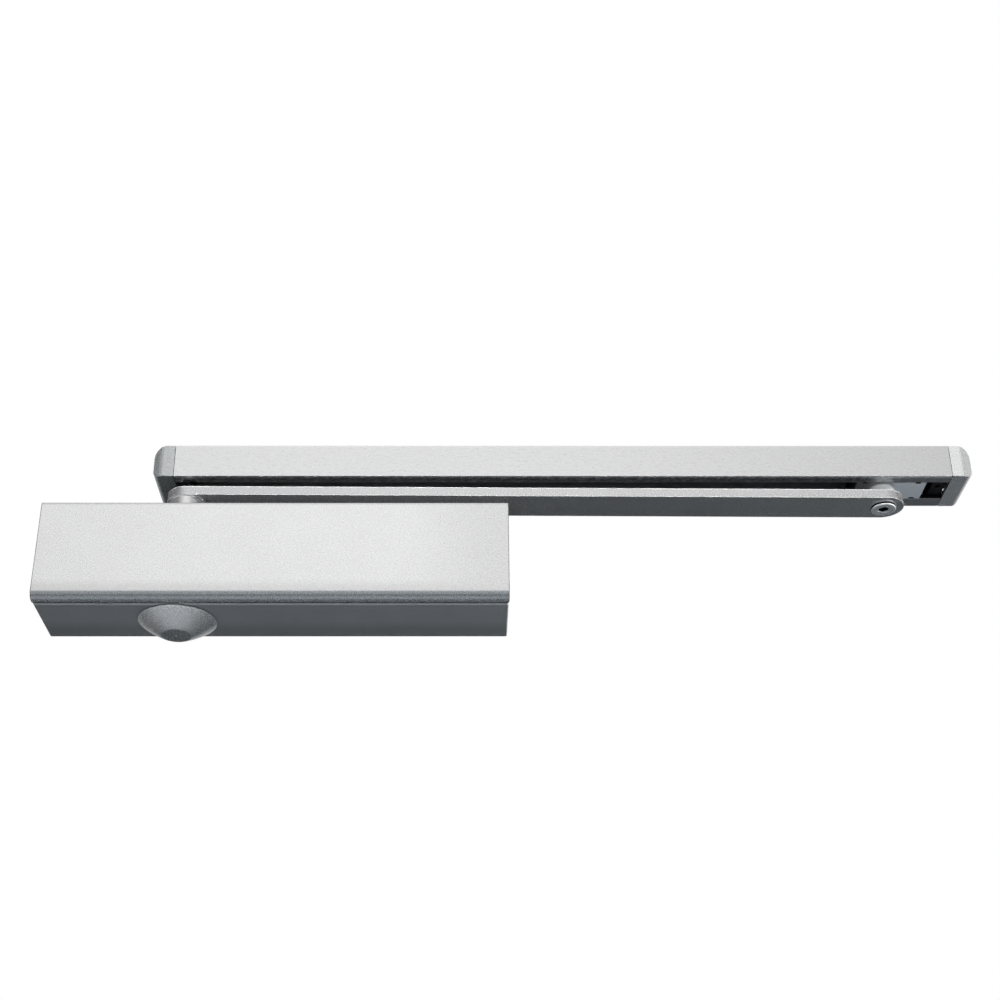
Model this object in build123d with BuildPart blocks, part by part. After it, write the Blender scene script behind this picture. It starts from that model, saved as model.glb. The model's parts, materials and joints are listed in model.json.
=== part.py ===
from build123d import *
import os
from math import acos, cos, floor, pi, radians, sin, sqrt, tan

os.makedirs("parts", exist_ok=True)

# Overhead door closer with a slide track, in millimetres.
# X runs along the door, Y into the door and its frame, Z up. The origin is the middle of the
# casting's back face, which lies on the door. The arm is stored folded along the door, as it
# stands when the door is shut.

# Fits and gaps
run_gap = 0.05  # radial gap of a shaft that turns in its bore
piston_gap = 0.04  # radial gap of the piston in the cylinder
press_gap = 0.02  # radial gap of a piece pressed or screwed home
play = 0.3  # gap between faces that slide past each other
axial_play = 0.2  # end play of a turning piece

# Rack and pinion
gear_module = 1.5
pinion_teeth = 12
pressure_angle = 20.0  # degrees
profile_shift = 0.3  # in modules, keeps the small pinion free of undercut
tooth_backlash = 0.2  # taken off each pinion tooth at the pitch circle
root_depth = 1.25  # dedendum in modules
pinion_face = 20.0  # length of the teeth along the spindle
arm_swing = 150.0  # degrees from shut to the open stop

# Cylinder and casting
bore_radius = 17.0
back_wall = 5.6  # between the cylinder and the door
front_wall = 5.9  # between the cylinder and the cover
casting_edge = 0.8  # rounding of the casting's outer edges

# Screws that hold the casting on the door, run beside the cylinder
fix_hole_radius = 2.75
fix_head_radius = 4.6
fix_inner_wall = 2.4  # between the screw heads and the cylinder
fix_outer_wall = 1.4  # between the screw heads and the outside
fix_grip = 12.0  # thickness under the screw heads
fix_inset = 16.0  # from the casting's ends

# Piston, spring and plugs along the cylinder
window_gap = 1.0  # between the pinion's teeth and the ends of the piston's window
piston_head = 18.0
oil_space = 5.4  # ahead of the piston at rest
plug_length = 17.0
plug_recess = 1.5  # of the plugs in the casting's ends
plug_step = 1.0  # the plug's thread is this much larger than the bore
plug_nose = 6.0  # plain end of the plug that carries its seal
plug_socket = 12.0  # across the flats
plug_socket_depth = 7.0
seal_section = 2.6  # thickness of the plugs' O-rings
pilot_length = 6.0  # spigots that centre the spring
pilot_gap = 0.4
spring_length = 127.4
spring_radius = 13.0  # to the middle of the wire
spring_wire = 5.0
spring_turns = 11
end_coil_gap = 0.7  # between the closed turns at the spring's ends
seat_thickness = 8.0
adjuster_radius = 4.0
adjuster_socket = 5.0
collar_radius = 7.5
collar_thickness = 3.0
collar_room = 4.0  # between the spring plug and the seat at rest
seat_travel = 12.0
ring_width = 2.5
ring_depth = 1.8
ring_inset = 6.0  # from the piston's spring end
check_radius = 3.5
check_length = 13.0
ball_radius = 1.6
ball_gap = 0.25
check_port = 0.9  # radius of the passage

# Spindle, bearings and glands
neck_gap = 0.95  # between the rack's tips and the spindle's journals
housing_gap = 1.05  # lets the pinion pass through its housing
bearing_inset = 0.2  # the bearings stay clear of the piston
bearing_length = 8.0
gland_step = 2.5  # the gland is this much larger than its bearing
gland_recess = 0.3
gland_lip = 2.0  # thickness outside the seal
seal_width = 3.2  # radial
square_across = 10.0  # drive square at both spindle ends
stub_length = 5.5  # of the lower square
socket_depth = 2.2
screw_socket = 4.0

# Speed valves in the casting's front
valve_radius = 3.0
valve_length = 9.0
valve_rise = 16.0  # above or below the cylinder's axis
valve_offset = 27.0  # from the spindle, along the casting
valve_slot = 1.0
valve_port = 1.2

# Front cover
cover_depth = 6.2  # in front of the casting
cover_wall = 2.0
cover_edge = 1.2  # rounding of the upper front edge
cover_overhang = 0.4  # past the casting's ends
cover_seam = 1.3  # open joint between the cover and the casting
cover_lip = 0.1  # straight part behind the rounded lower edge
cover_end_edge = 0.6
tab_width = 9.0
tab_thickness = 1.6
tab_depth = 4.5  # in the casting
tab_inset = 40.0  # from the casting's ends
tab_edge = 4.5  # from the casting's upper and lower faces

# Spindle cap
cap_gap = 0.8  # under the casting
cap_door_gap = 0.35  # between the rim and the door
cap_tip_radius = 8.7
cap_height = 9.0
cap_rim = 0.6
cap_wall = 2.0
cap_boss_wall = 1.8
cap_dimple = 1.2

# Arm
arm_length = 411.75  # from spindle to pivot
arm_half_width = 12.0
arm_thickness = 5.8
arm_rise = 15.75  # underside of the arm above the casting
arm_edge = 0.5
hub_gap = 0.8
hub_radius = 11.15
hub_edge = 0.6
spigot_radius = 8.0
arm_screw_radius = 3.0
arm_screw_depth = 12.0  # in the spindle
arm_head_radius = 5.5
arm_head_height = 3.3

# Pivot and slider
pivot_radius = 5.0
pivot_head_radius = 7.15
pivot_head_height = 4.0
pivot_head_proud = 1.0
pivot_head_edge = 0.6
pivot_recess_gap = 1.0
pivot_socket = 5.5
pivot_socket_depth = 2.6
pivot_thread_radius = 4.0
pivot_thread_length = 9.0
bush_radius = 7.3
bush_height = 5.7  # from the arm to the slider
slider_left_reach = 16.5  # from the pivot
slider_right_reach = 25.5  # from the pivot
slider_head = 8.0
glide_thickness = 1.0
glide_inset = 2.0  # from the slider's ends
slider_edge = 0.6
notch_length = 3.2
notch_depth = 1.5
notch_inset = 3.8  # from the slider's ends

# Track
channel_length = 457.4
track_depth = 35.8
track_height = 20.8
track_wall = 2.2
track_web = 2.5
lip_thickness = 3.0
front_lip = 7.35
rear_lip = 9.2
track_edge = 0.7  # rounding along the lower edges
end_play = 4.7  # between the slider and the right bracket at rest
end_cap_length = 12.6
end_cap_wall = 1.8
end_cap_corner = 7.8  # upper outer corner
end_cap_foot = 4.2  # lower outer corner
end_cap_flat = 6.0  # of the front, before it slopes back to the outer side
end_cap_slope = 2.4
end_cap_bend = 4.0  # between the flat and the slope
end_cap_edge = 1.5  # front upright edge
end_cap_rear_edge = 3.0
end_cap_pocket = 8.0  # for the bracket's lug
bracket_insert = 8.0  # in the channel
bracket_lug = 5.0  # thickness of the screwed lug
track_hole_radius = 2.6
grub_radius = 2.0

# Rack and pinion, worked out from the module
pitch_radius = gear_module * pinion_teeth / 2
base_radius = pitch_radius * cos(radians(pressure_angle))
tip_radius = pitch_radius + gear_module * (1 + profile_shift)
root_radius = pitch_radius - gear_module * (root_depth - profile_shift)
tooth_thickness = gear_module * (pi / 2 + 2 * profile_shift * tan(radians(pressure_angle))) - tooth_backlash
rack_pitch = pi * gear_module
rack_reference = pitch_radius + profile_shift * gear_module
rack_tip = rack_reference - gear_module
rack_root = rack_reference + root_depth * gear_module
piston_travel = pitch_radius * radians(arm_swing)

# Casting and spindle
half_height = bore_radius + fix_inner_wall + 2 * fix_head_radius + fix_outer_wall
casting_depth = back_wall + 2 * bore_radius + front_wall
window_reach = tip_radius + window_gap
left_reach = window_reach + piston_travel + piston_head + oil_space + plug_length + plug_recess
right_reach = (
    window_reach + piston_head + spring_length + seat_thickness + collar_room + plug_length + plug_recess
)
half_length = (left_reach + right_reach) / 2
spindle_x = left_reach - half_length
spindle_y = -(back_wall + bore_radius)
journal_radius = rack_tip - neck_gap
housing_radius = tip_radius + housing_gap
gland_radius = housing_radius + gland_step
bearing_start = bore_radius + bearing_inset
gland_start = bearing_start + bearing_length
gland_end = half_height - gland_recess
seal_end = gland_end - gland_lip
fix_height = bore_radius + fix_inner_wall + fix_head_radius

# Stations along the cylinder
left_plug_face = -half_length + plug_recess
piston_left = left_plug_face + plug_length + oil_space
window_left = piston_left + piston_head
window_right = spindle_x + window_reach
piston_right = window_right + piston_head
seat_left = piston_right + spring_length
spring_plug_inner = seat_left + seat_thickness + collar_room
right_plug_face = spring_plug_inner + plug_length
piston_radius = bore_radius - piston_gap
plug_radius = bore_radius + plug_step
pilot_radius = spring_radius - spring_wire / 2 - pilot_gap

# Levels of the arm, the slider and the track
hub_bottom = half_height + hub_gap
arm_bottom = half_height + arm_rise
arm_top = arm_bottom + arm_thickness
track_bottom = arm_top + bush_height
track_top = track_bottom + track_height
lip_top = track_bottom + lip_thickness
slot_y = (front_lip - track_depth - rear_lip) / 2
slot_width = track_depth - front_lip - rear_lip
pivot_x = spindle_x + sqrt(arm_length**2 - (slot_y - spindle_y) ** 2)
channel_right = pivot_x + slider_right_reach + end_play + bracket_insert
channel_left = channel_right - channel_length

# Working planes
cylinder_plane = Plane(origin=(0, spindle_y, 0), x_dir=(0, 1, 0), z_dir=(1, 0, 0))
spindle_plane = Plane(origin=(spindle_x, spindle_y, 0))
spindle_section = Plane(origin=(spindle_x, spindle_y, 0), x_dir=(1, 0, 0), z_dir=(0, -1, 0))
spindle_axis = Axis((spindle_x, spindle_y, 0), (0, 0, 1))
cylinder_axis = Axis((0, spindle_y, 0), (1, 0, 0))
cylinder_section = Plane(origin=(0, spindle_y, 0), x_dir=(1, 0, 0), z_dir=(0, -1, 0))
pivot_plane = Plane(origin=(pivot_x, slot_y, 0))
pivot_section = Plane(origin=(pivot_x, slot_y, 0), x_dir=(1, 0, 0), z_dir=(0, -1, 0))
pivot_axis = Axis((pivot_x, slot_y, 0), (0, 0, 1))
arm_plane = Plane(
    origin=(spindle_x, spindle_y, arm_bottom),
    x_dir=(pivot_x - spindle_x, slot_y - spindle_y, 0),
    z_dir=(0, 0, 1),
)


def save(piece, name):
    """Label a finished piece and write it under its name."""
    piece.label = name
    export_step(piece, f"parts/{name}.step")


def hexagon_radius(across_flats):
    """Corner radius of a hexagon from its width across the flats."""
    return across_flats / sqrt(3)


# Body casting: a block bored for the piston, the spindle, the plugs and the valves
fix_places = [(side * (half_length - fix_inset), level * fix_height) for side in (-1, 1) for level in (-1, 1)]
tab_places = [
    (side * (half_length - tab_inset), level * (half_height - tab_edge)) for side in (-1, 1) for level in (-1, 1)
]
valve_places = [(spindle_x - valve_offset, valve_rise), (spindle_x - valve_offset, -valve_rise)]
front_plane = Plane.XZ.offset(casting_depth)

with BuildPart() as body_casting:
    with BuildSketch(Plane.YZ.offset(-half_length)):
        with Locations((-casting_depth / 2, 0)):
            Rectangle(casting_depth, 2 * half_height)
    extrude(amount=2 * half_length)
    fillet(body_casting.edges(), casting_edge)
    with BuildSketch(cylinder_plane.offset(-half_length)):
        Circle(bore_radius)
    extrude(amount=2 * half_length, mode=Mode.SUBTRACT)
    for start in (-half_length, half_length - plug_recess - plug_length + plug_nose):
        with BuildSketch(cylinder_plane.offset(start)):
            Circle(plug_radius)
        extrude(amount=plug_recess + plug_length - plug_nose, mode=Mode.SUBTRACT)
    with BuildSketch(spindle_plane.offset(-half_height)):
        Circle(housing_radius)
    extrude(amount=2 * half_height, mode=Mode.SUBTRACT)
    for level in (gland_start, -half_height):
        with BuildSketch(spindle_plane.offset(level)):
            Circle(gland_radius)
        extrude(amount=half_height - gland_start, mode=Mode.SUBTRACT)
    with BuildSketch(Plane.XZ):
        with Locations(*fix_places):
            Circle(fix_hole_radius)
    extrude(amount=casting_depth, mode=Mode.SUBTRACT)
    with BuildSketch(Plane.XZ.offset(fix_grip)):
        with Locations(*fix_places):
            Circle(fix_head_radius)
    extrude(amount=casting_depth - fix_grip, mode=Mode.SUBTRACT)
    with BuildSketch(front_plane):
        with Locations(*valve_places):
            Circle(valve_radius + run_gap)
    extrude(amount=-(valve_length + axial_play), mode=Mode.SUBTRACT)
    with BuildSketch(front_plane):
        with Locations(*valve_places):
            Circle(valve_port)
    extrude(amount=-(casting_depth + spindle_y), mode=Mode.SUBTRACT)
    with BuildSketch(front_plane):
        with Locations(*tab_places):
            Rectangle(tab_width + 2 * play, tab_thickness + 2 * play)
    extrude(amount=-(tab_depth + play), mode=Mode.SUBTRACT)
save(body_casting.part, "body_casting")

# Front cover: a tray with a large rounding below, held by tabs in the casting's front
cover_half = half_length + cover_overhang
cover_front = -(casting_depth + cover_depth)
cover_back = -(casting_depth + cover_seam)
cover_roll = cover_depth - cover_seam - cover_lip

with BuildPart() as front_cover:
    with BuildSketch(Plane.YZ.offset(-cover_half)) as outline:
        with Locations(((cover_front + cover_back) / 2, 0)):
            Rectangle(cover_back - cover_front, 2 * half_height)
        front_corners = outline.vertices().group_by(Axis.X)[0].sort_by(Axis.Y)
        fillet(front_corners[0], cover_roll)
        fillet(front_corners[-1], cover_edge)
    extrude(amount=2 * cover_half)
    end_edges = front_cover.faces().filter_by(Axis.X).edges()
    fillet(end_edges.sort_by(Axis.Y)[:-2], cover_end_edge)
    with BuildSketch(Plane.YZ.offset(cover_wall - cover_half)) as hollow:
        with Locations(((cover_front + cover_wall + cover_back) / 2, 0)):
            Rectangle(cover_back - cover_front - cover_wall, 2 * (half_height - cover_wall))
        inner_corners = hollow.vertices().group_by(Axis.X)[0].sort_by(Axis.Y)
        fillet(inner_corners[0], cover_roll - cover_wall)
    extrude(amount=2 * (cover_half - cover_wall), mode=Mode.SUBTRACT)
    with BuildSketch(Plane.XZ.offset(casting_depth - tab_depth)):
        with Locations(*tab_places):
            Rectangle(tab_width, tab_thickness)
    extrude(amount=tab_depth + cover_depth - cover_wall / 2)
save(front_cover.part, "front_cover")

# Cylinder plugs: threaded discs with a plain nose for the seal
groove_radius = bore_radius - seal_section + play
groove_width = seal_section + play
plug_sides = (("piston_end_plug", left_plug_face, 1), ("spring_end_plug", right_plug_face, -1))

for name, face, inward in plug_sides:
    plug_plane = Plane(origin=(face, spindle_y, 0), x_dir=(0, 1, 0), z_dir=(inward, 0, 0))
    with BuildPart() as plug:
        with BuildSketch(plug_plane):
            Circle(plug_radius - press_gap)
        extrude(amount=plug_length - plug_nose)
        with BuildSketch(plug_plane.offset(plug_length - plug_nose)):
            Circle(bore_radius - press_gap)
        extrude(amount=plug_nose)
        with BuildSketch(plug_plane.offset(plug_length - (plug_nose + groove_width) / 2)):
            Circle(bore_radius)
            Circle(groove_radius, mode=Mode.SUBTRACT)
        extrude(amount=groove_width, mode=Mode.SUBTRACT)
        with BuildSketch(plug_plane):
            RegularPolygon(hexagon_radius(plug_socket), 6)
        extrude(amount=plug_socket_depth, mode=Mode.SUBTRACT)
        if name == "spring_end_plug":
            with BuildSketch(plug_plane):
                Circle(adjuster_radius + run_gap)
            extrude(amount=plug_length, mode=Mode.SUBTRACT)
    save(plug.part, name)

seal_wire = (bore_radius - groove_radius) / 2 - press_gap
with BuildPart() as plug_seals:
    for name, face, inward in plug_sides:
        with BuildSketch(cylinder_section):
            with Locations((face + inward * (plug_length - plug_nose / 2), (bore_radius + groove_radius) / 2)):
                Circle(seal_wire)
        revolve(axis=cylinder_axis)
save(plug_seals.part, "plug_seals")

# Bearings, glands and shaft seals, one set at each end of the spindle
for name, side in (("upper", 1), ("lower", -1)):
    side_plane = Plane(origin=(spindle_x, spindle_y, 0), x_dir=(1, 0, 0), z_dir=(0, 0, side))
    with BuildPart() as bearing:
        with BuildSketch(side_plane.offset(bearing_start)):
            Circle(housing_radius - press_gap)
            Circle(journal_radius + run_gap, mode=Mode.SUBTRACT)
        extrude(amount=bearing_length)
    save(bearing.part, f"{name}_bearing")
    with BuildPart() as gland:
        with BuildSketch(side_plane.offset(gland_start)):
            Circle(gland_radius - press_gap)
            Circle(journal_radius + play, mode=Mode.SUBTRACT)
        extrude(amount=gland_end - gland_start)
        with BuildSketch(side_plane.offset(gland_start)):
            Circle(journal_radius + seal_width)
        extrude(amount=seal_end - gland_start, mode=Mode.SUBTRACT)
        with BuildSketch(side_plane.offset(gland_end)):
            with PolarLocations((journal_radius + gland_radius) / 2, 2):
                Circle(gland_lip / 2)
        extrude(amount=-gland_lip / 2, mode=Mode.SUBTRACT)
    save(gland.part, f"{name}_gland")

with BuildPart() as shaft_seals:
    for side in (1, -1):
        side_plane = Plane(origin=(spindle_x, spindle_y, 0), x_dir=(1, 0, 0), z_dir=(0, 0, side))
        with BuildSketch(side_plane.offset(gland_start)):
            Circle(journal_radius + seal_width - press_gap)
            Circle(journal_radius + run_gap, mode=Mode.SUBTRACT)
        extrude(amount=seal_end - gland_start)
save(shaft_seals.part, "shaft_seals")


# Spindle: journals, a drive square at each end and involute pinion teeth between
def involute(angle):
    """Involute function of a pressure angle in radians."""
    return tan(angle) - angle


def half_tooth_angle(radius):
    """Half the angle that a pinion tooth takes up at a radius; below the base circle it is radial."""
    at_pitch = tooth_thickness / (2 * pitch_radius) + involute(radians(pressure_angle))
    return at_pitch - involute(acos(base_radius / max(radius, base_radius)))


def flank_point(radius, side):
    """Point on one flank of a tooth that points along X."""
    angle = side * half_tooth_angle(radius)
    return (radius * cos(angle), radius * sin(angle))


flank_steps = 5
flank_radii = [base_radius + (tip_radius - base_radius) * step / flank_steps for step in range(flank_steps + 1)]
tooth_foot = root_radius - gear_module / 4

with BuildSketch() as pinion_tooth:
    with BuildLine():
        Line(flank_point(tooth_foot, -1), flank_point(base_radius, -1))
        Spline(*[flank_point(radius, -1) for radius in flank_radii])
        ThreePointArc(flank_point(tip_radius, -1), (tip_radius, 0), flank_point(tip_radius, 1))
        Spline(*[flank_point(radius, 1) for radius in reversed(flank_radii)])
        Line(flank_point(base_radius, 1), flank_point(tooth_foot, 1))
        Line(flank_point(tooth_foot, 1), flank_point(tooth_foot, -1))
    make_face()

square_top = arm_bottom - axial_play
stub_bottom = -half_height - cap_gap - stub_length
journal_end = half_height + gland_recess

with BuildPart() as spindle_pinion:
    with BuildSketch(spindle_plane.offset(-journal_end)):
        Circle(journal_radius)
    extrude(amount=2 * journal_end)
    with BuildSketch(spindle_plane.offset(-pinion_face / 2)):
        Circle(root_radius)
        with PolarLocations(0, pinion_teeth, start_angle=-90):
            add(pinion_tooth.sketch)
    extrude(amount=pinion_face)
    with BuildSketch(spindle_plane.offset(stub_bottom)):
        Circle(journal_radius)
        Rectangle(square_across, square_across, mode=Mode.INTERSECT)
    extrude(amount=-stub_bottom)
    with BuildSketch(spindle_plane):
        Circle(journal_radius)
        Rectangle(square_across, square_across, mode=Mode.INTERSECT)
    extrude(amount=square_top)
    with BuildSketch(spindle_plane.offset(square_top)):
        Circle(arm_screw_radius)
    extrude(amount=-(arm_screw_depth + axial_play), mode=Mode.SUBTRACT)
save(spindle_pinion.part, "spindle_pinion")

# Rack piston: a cylinder with a through window, one wall of which is broached as the rack
tooth_half_root = rack_pitch / 4 + root_depth * gear_module * tan(radians(pressure_angle))
tooth_half_tip = rack_pitch / 4 - gear_module * tan(radians(pressure_angle))
teeth_right = floor((window_reach - tooth_half_root) / rack_pitch + 0.5)
teeth_left = floor((window_reach + piston_travel - tooth_half_root) / rack_pitch + 0.5)

rack_line = [(window_left, spindle_y - rack_root)]
for tooth in range(-teeth_left, teeth_right):
    middle = spindle_x + (tooth + 0.5) * rack_pitch
    rack_line += [
        (middle - tooth_half_root, spindle_y - rack_root),
        (middle - tooth_half_tip, spindle_y - rack_tip),
        (middle + tooth_half_tip, spindle_y - rack_tip),
        (middle + tooth_half_root, spindle_y - rack_root),
    ]
rack_line += [
    (window_right, spindle_y - rack_root),
    (window_right, spindle_y + window_reach),
    (window_left, spindle_y + window_reach),
]

with BuildPart() as rack_piston:
    with BuildSketch(cylinder_plane.offset(piston_left)):
        Circle(piston_radius)
    extrude(amount=piston_right - piston_left)
    with BuildSketch(cylinder_plane.offset(piston_right)):
        Circle(pilot_radius)
    extrude(amount=pilot_length)
    with BuildSketch(Plane.XY.offset(-bore_radius)):
        with BuildLine():
            Polyline(*rack_line, close=True)
        make_face()
    extrude(amount=2 * bore_radius, mode=Mode.SUBTRACT)
    with BuildSketch(cylinder_plane.offset(piston_right - ring_inset - ring_width)):
        Circle(bore_radius)
        Circle(piston_radius - ring_depth, mode=Mode.SUBTRACT)
    extrude(amount=ring_width, mode=Mode.SUBTRACT)
    with BuildSketch(cylinder_plane.offset(piston_left)):
        Circle(check_radius)
    extrude(amount=check_length, mode=Mode.SUBTRACT)
    with BuildSketch(cylinder_plane.offset(piston_left)):
        Circle(check_port)
    extrude(amount=piston_head, mode=Mode.SUBTRACT)
save(rack_piston.part, "rack_piston")

with BuildPart() as piston_ring:
    with BuildSketch(cylinder_plane.offset(piston_right - ring_inset - ring_width + press_gap)):
        Circle(bore_radius - piston_gap / 2)
        Circle(piston_radius - ring_depth + press_gap, mode=Mode.SUBTRACT)
    extrude(amount=ring_width - 2 * press_gap)
save(piston_ring.part, "piston_ring")

# One-way valve in the piston's head: a pressed capsule with a loose ball
cavity_radius = ball_radius + ball_gap
ball_x = piston_left + check_length / 2

with BuildPart() as check_valve_seat:
    with BuildSketch(cylinder_plane.offset(piston_left)):
        Circle(check_radius - press_gap)
    extrude(amount=check_length)
    with BuildSketch(cylinder_plane.offset(piston_left)):
        Circle(check_port)
    extrude(amount=check_length, mode=Mode.SUBTRACT)
    with BuildSketch(cylinder_plane.offset(ball_x - cavity_radius)):
        Circle(cavity_radius)
    extrude(amount=2 * cavity_radius, mode=Mode.SUBTRACT)
save(check_valve_seat.part, "check_valve_seat")

with BuildPart() as check_valve_ball:
    with BuildSketch(cylinder_section):
        with BuildLine():
            CenterArc((ball_x, 0), ball_radius, 0, 180)
            Line((ball_x - ball_radius, 0), (ball_x + ball_radius, 0))
        make_face()
    revolve(axis=cylinder_axis)
save(check_valve_ball.part, "check_valve_ball")

# Main spring: one unbroken wire with closed end turns and an even pitch between
wire_radius = spring_wire / 2
spring_start = piston_right + play + wire_radius
spring_advance = spring_length - spring_wire - 2 * play
closed_pitch = spring_wire + end_coil_gap
closed_turns = 1.0
open_pitch = closed_pitch + (spring_advance - closed_pitch * spring_turns) / (spring_turns - 2 * closed_turns - 1)


def ramp_area(turn):
    """Integral of a smooth step that rises over the turn after the closed end turn."""
    part = min(max(turn - closed_turns, 0.0), 1.0)
    return part**3 - part**4 / 2 + max(turn - closed_turns - 1, 0.0)


def spring_x(turn):
    """Place along the cylinder of the wire's middle after so many turns."""
    from_end = spring_turns - turn
    half = spring_turns / 2
    if turn <= half:
        return spring_start + closed_pitch * turn + (open_pitch - closed_pitch) * ramp_area(turn)
    rest = closed_pitch * from_end + (open_pitch - closed_pitch) * ramp_area(from_end)
    return spring_start + spring_advance - rest


def spring_point(turn):
    """Point on the wire's middle line."""
    angle = 2 * pi * turn
    return Vector(spring_x(turn), spring_y + spring_radius * cos(angle), spring_radius * sin(angle))


def spring_tangent(turn):
    """Direction of the wire's middle line."""
    step = 1e-4
    return (spring_point(turn + step) - spring_point(turn - step)).normalized()


def biarc(start, start_way, end, end_way):
    """Two arcs that leave one point and reach another in given directions and meet smoothly."""
    chord = end - start
    ways = start_way + end_way
    bend = 2 * (1 - start_way.dot(end_way))
    reach = (sqrt(chord.dot(ways) ** 2 + bend * chord.dot(chord)) - chord.dot(ways)) / bend
    middle = (start + end + (start_way - end_way) * reach) * 0.5
    TangentArc(start, middle, tangent=start_way)
    TangentArc(middle, end, tangent=end - end_way * reach - middle)


spring_y = spindle_y
spring_halves = int(2 * spring_turns)

with BuildPart() as main_spring:
    with BuildLine() as wire_path:
        for half in range(spring_halves):
            here, there = half / 2, (half + 1) / 2
            biarc(spring_point(here), spring_tangent(here), spring_point(there), spring_tangent(there))
    with BuildSketch(Plane(origin=spring_point(0), z_dir=spring_tangent(0))):
        Circle(wire_radius)
    sweep(path=wire_path.wires()[0])
save(main_spring.part, "main_spring")

turn_gaps = [spring_x((half + 2) / 2) - spring_x(half / 2) for half in range(spring_halves - 1)]
print("least gap between spring turns", round(min(turn_gaps) - spring_wire, 2))

# Spring seat and the screw that sets the closing force
with BuildPart() as spring_seat:
    with BuildSketch(cylinder_plane.offset(seat_left)):
        Circle(bore_radius - play)
    extrude(amount=seat_thickness)
    with BuildSketch(cylinder_plane.offset(seat_left - pilot_length)):
        Circle(pilot_radius)
    extrude(amount=pilot_length)
    with BuildSketch(cylinder_plane.offset(seat_left - pilot_length)):
        Circle(adjuster_radius + run_gap)
    extrude(amount=pilot_length + seat_thickness, mode=Mode.SUBTRACT)
save(spring_seat.part, "spring_seat")

adjuster_tip = seat_left - pilot_length - seat_travel

with BuildPart() as force_adjuster:
    with BuildSketch(cylinder_plane.offset(adjuster_tip)):
        Circle(adjuster_radius)
    extrude(amount=right_plug_face - plug_socket_depth / 2 - adjuster_tip)
    with BuildSketch(cylinder_plane.offset(spring_plug_inner - axial_play - collar_thickness)):
        Circle(collar_radius)
    extrude(amount=collar_thickness)
    with BuildSketch(cylinder_plane.offset(right_plug_face - plug_socket_depth / 2)):
        RegularPolygon(hexagon_radius(adjuster_socket), 6)
    extrude(amount=-adjuster_socket, mode=Mode.SUBTRACT)
save(force_adjuster.part, "force_adjuster")

# Speed valves: slotted needles flush with the casting's front
for name, place in zip(("closing_valve", "latching_valve"), valve_places):
    valve_plane = Plane(origin=(place[0], -casting_depth, place[1]), x_dir=(1, 0, 0), z_dir=(0, 1, 0))
    with BuildPart() as valve:
        with BuildSketch(valve_plane):
            Circle(valve_radius)
        extrude(amount=valve_length - valve_radius)
        with BuildSketch(valve_plane.offset(valve_length - valve_radius)):
            Circle(valve_radius)
        extrude(amount=valve_radius, taper=30)
        with BuildSketch(valve_plane):
            Rectangle(2 * valve_radius, valve_slot)
        extrude(amount=2 * valve_slot, mode=Mode.SUBTRACT)
    save(valve.part, name)

# Spindle cap: a truncated cone pressed on the lower square
cap_top = -half_height - cap_gap
cap_rim_radius = -spindle_y - cap_door_gap
cap_bottom = cap_top - cap_height
boss_radius = journal_radius + cap_boss_wall

with BuildPart() as spindle_cap:
    with BuildSketch(spindle_section):
        with BuildLine():
            Polyline(
                (0, cap_bottom),
                (cap_tip_radius, cap_bottom),
                (cap_rim_radius, cap_top - cap_rim),
                (cap_rim_radius, cap_top),
                (cap_rim_radius - cap_wall, cap_top),
                (boss_radius, cap_bottom + cap_wall),
                (boss_radius, cap_top),
                (0, cap_top),
                close=True,
            )
        make_face()
    revolve(axis=spindle_axis)
    with BuildSketch(spindle_plane.offset(cap_top)):
        Circle(journal_radius + press_gap)
        Rectangle(square_across + 2 * press_gap, square_across + 2 * press_gap, mode=Mode.INTERSECT)
    extrude(amount=-(stub_length + press_gap), mode=Mode.SUBTRACT)
    with BuildSketch(spindle_section):
        with BuildLine():
            Polyline((0, cap_bottom), (cap_dimple, cap_bottom), (0, cap_bottom + cap_dimple), close=True)
        make_face()
    revolve(axis=spindle_axis, mode=Mode.SUBTRACT)
save(spindle_cap.part, "spindle_cap")

# Arm: a flat bar with round ends, a hub riveted in one and the pivot recess in the other
with BuildPart() as arm_bar:
    with BuildSketch(arm_plane):
        with Locations((arm_length / 2, 0)):
            SlotCenterToCenter(arm_length, 2 * arm_half_width)
    extrude(amount=arm_thickness)
    chamfer(arm_bar.faces().filter_by(Axis.Z).edges(), arm_edge)
    with BuildSketch(arm_plane):
        Circle(spigot_radius + press_gap)
        with Locations((arm_length, 0)):
            Circle(pivot_radius + run_gap)
    extrude(amount=arm_thickness, mode=Mode.SUBTRACT)
    with BuildSketch(arm_plane):
        with Locations((arm_length, 0)):
            Circle(pivot_head_radius + pivot_recess_gap)
    extrude(amount=pivot_head_height - pivot_head_proud + axial_play, mode=Mode.SUBTRACT)
save(arm_bar.part, "arm_bar")

with BuildPart() as arm_hub:
    with BuildSketch(spindle_plane.offset(hub_bottom)):
        Circle(hub_radius)
    extrude(amount=arm_bottom - hub_bottom)
    chamfer(arm_hub.edges().group_by(Axis.Z)[0], hub_edge)
    with BuildSketch(spindle_plane.offset(arm_bottom)):
        Circle(spigot_radius)
    extrude(amount=arm_thickness)
    with BuildSketch(spindle_plane.offset(hub_bottom)):
        Circle(journal_radius + press_gap)
        Rectangle(square_across + 2 * press_gap, square_across + 2 * press_gap, mode=Mode.INTERSECT)
    extrude(amount=square_top + press_gap - hub_bottom, mode=Mode.SUBTRACT)
    with BuildSketch(spindle_plane.offset(arm_top)):
        Circle(arm_screw_radius + play)
    extrude(amount=hub_bottom - arm_top, mode=Mode.SUBTRACT)
save(arm_hub.part, "arm_hub")

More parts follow.
